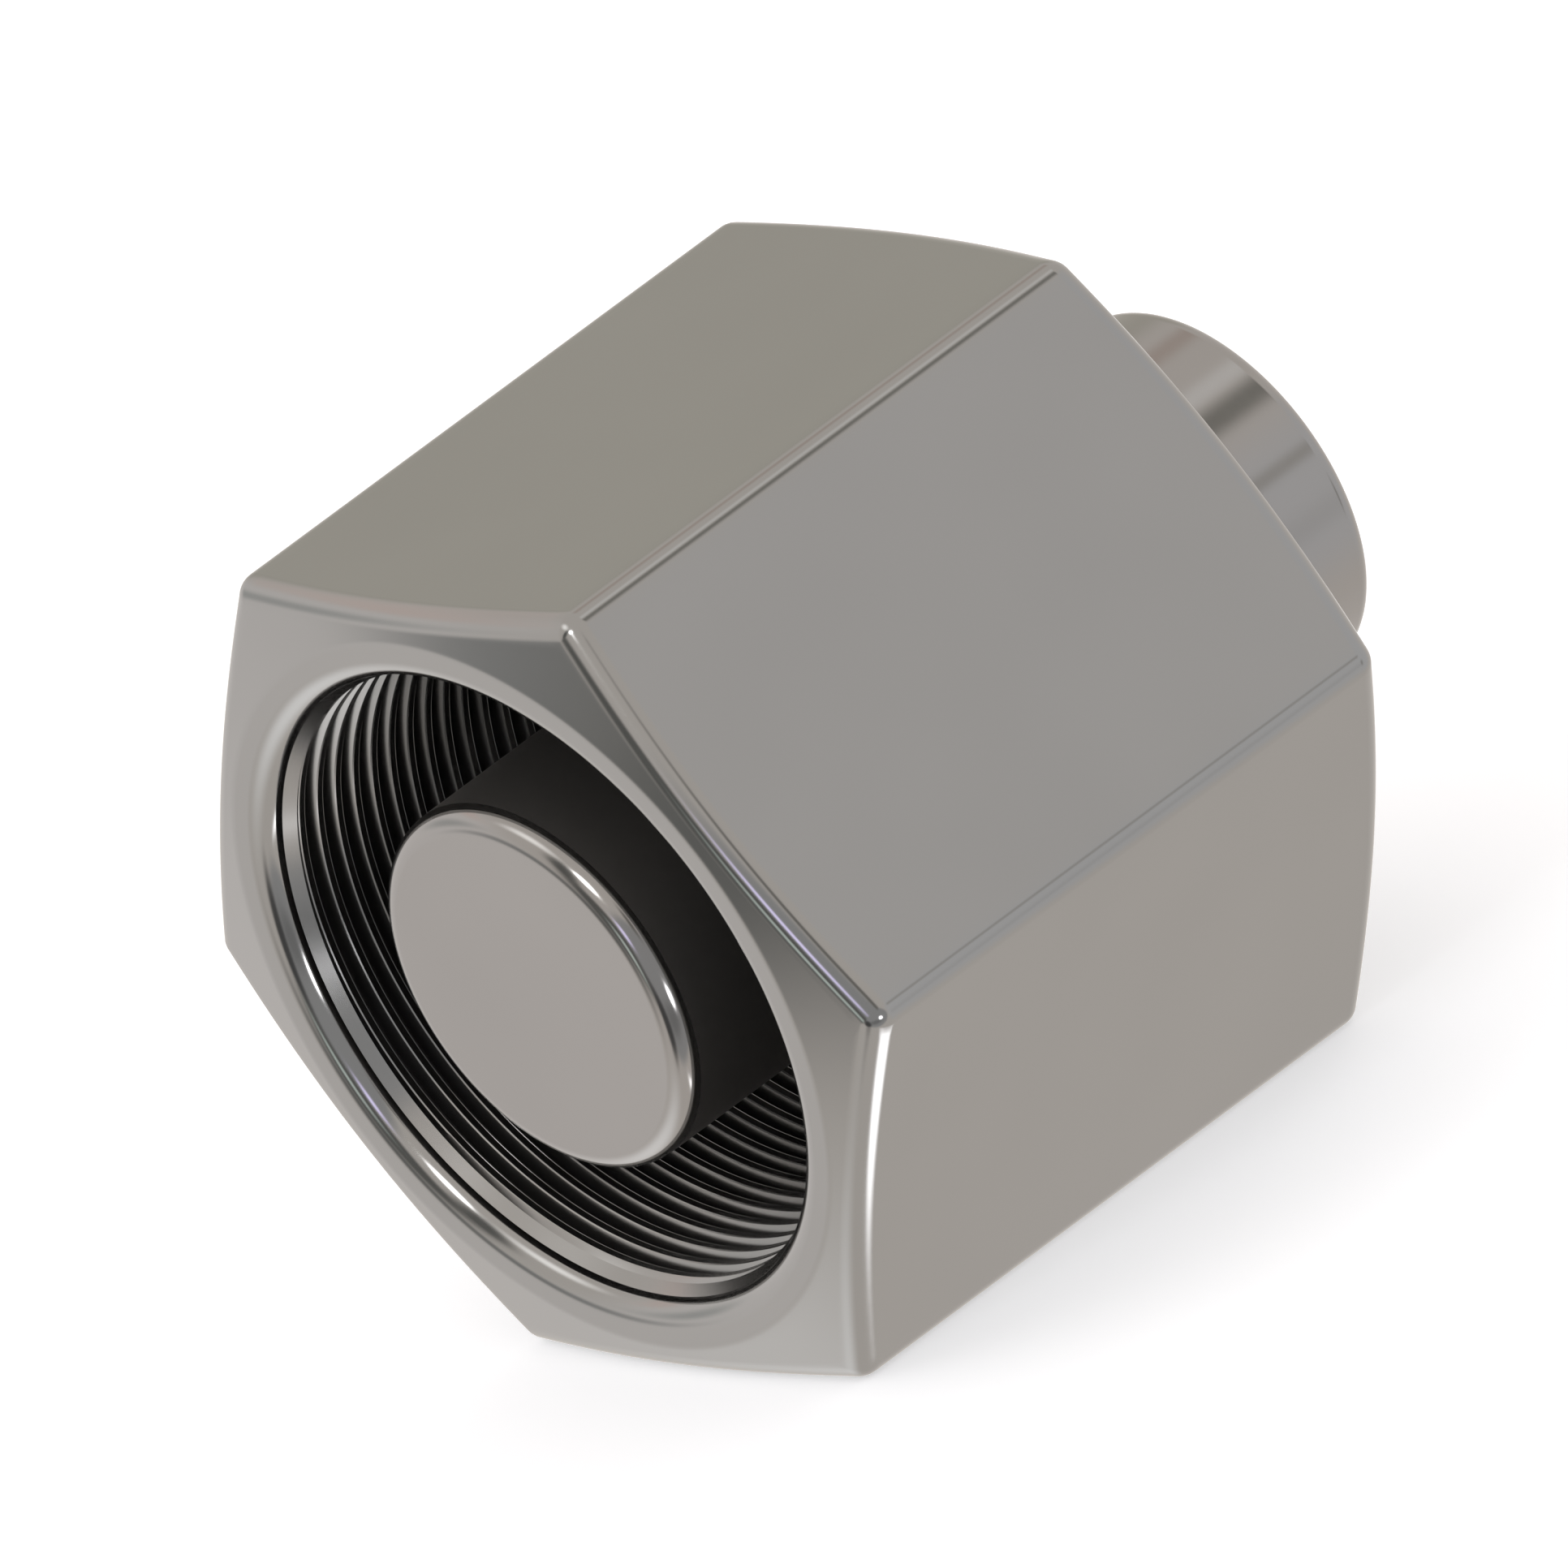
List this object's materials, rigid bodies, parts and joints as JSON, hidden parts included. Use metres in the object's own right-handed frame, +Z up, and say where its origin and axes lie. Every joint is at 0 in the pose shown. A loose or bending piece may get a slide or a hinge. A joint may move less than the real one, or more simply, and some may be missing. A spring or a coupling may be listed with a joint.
{
  "type": "threaded blanking plug",
  "caption": "Hexagonal union nut with an inner fine thread, turning on a round steel plug whose collar carries a sealing ring.",
  "frame": {"origin": "centre of the bounding box on the surface that the nut's lower flat rests on; the common axis is 25 mm above it", "axes": "+Y along the common axis from the nut's mouth to the stub, +Z up through the nut's top flat, +X towards a corner of the hexagon"},
  "size_m": [0.0572, 0.0574, 0.05],
  "materials": {
    "nut_steel": "satin turned steel",
    "plug_steel": "satin turned steel",
    "seal_rubber": "moulded, matt"
  },
  "bodies": {
    "nut": {"union_nut": "nut_steel"},
    "seal": {"sealing_ring": "seal_rubber"},
    "plug": {"plug_pin": "plug_steel"}
  },
  "joints": [
    {"name": "plug_slide", "type": "slide", "parent": "nut", "child": "seal", "axis": [0, -1, 0], "range_m": [0, 0.0131]},
    {"name": "plug_spin", "type": "hinge", "parent": "seal", "child": "plug", "pos_m": [0, 0, 0.025], "axis": [0, 1, 0], "continuous": true}
  ]
}
